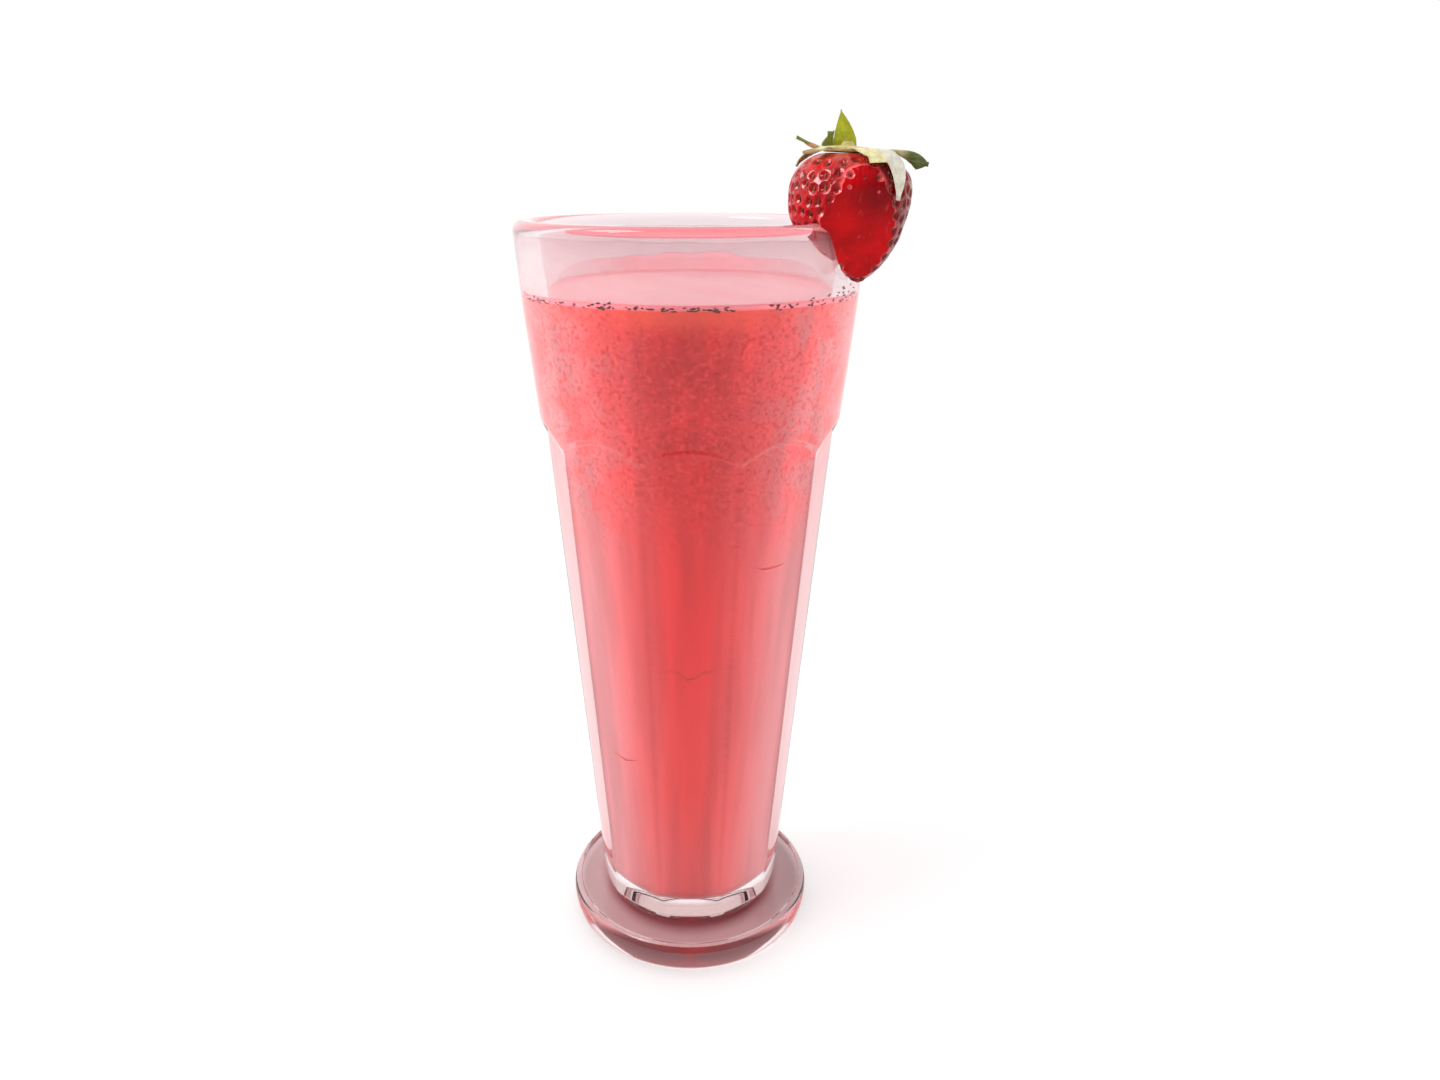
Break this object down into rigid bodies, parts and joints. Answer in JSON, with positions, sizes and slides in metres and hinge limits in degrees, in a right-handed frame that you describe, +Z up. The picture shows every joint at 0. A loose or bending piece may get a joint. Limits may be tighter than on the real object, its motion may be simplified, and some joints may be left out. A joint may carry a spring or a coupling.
{
  "type": "strawberry smoothie in a footed glass",
  "caption": "Tall faceted footed glass filled with strawberry smoothie, with a slit strawberry sitting on the rim as garnish.",
  "frame": {"origin": "on the glass's axis, in the plane of its flat underside", "axes": "+Z up along the glass's axis, -Y towards the viewer, +X to the viewer's right, where the strawberry is"},
  "size_m": [0.0955, 0.0868, 0.2258],
  "materials": {
    "glass": "clear polished glass",
    "smoothie": "opaque pink-red fruit drink, wet",
    "strawberry": "ripe red berry skin, glossy",
    "leaves": "fresh yellow-green leaf"
  },
  "bodies": {
    "root": {"glass": "glass", "smoothie": "smoothie", "strawberry": "strawberry", "strawberry_leaves": "leaves"}
  },
  "joints": []
}
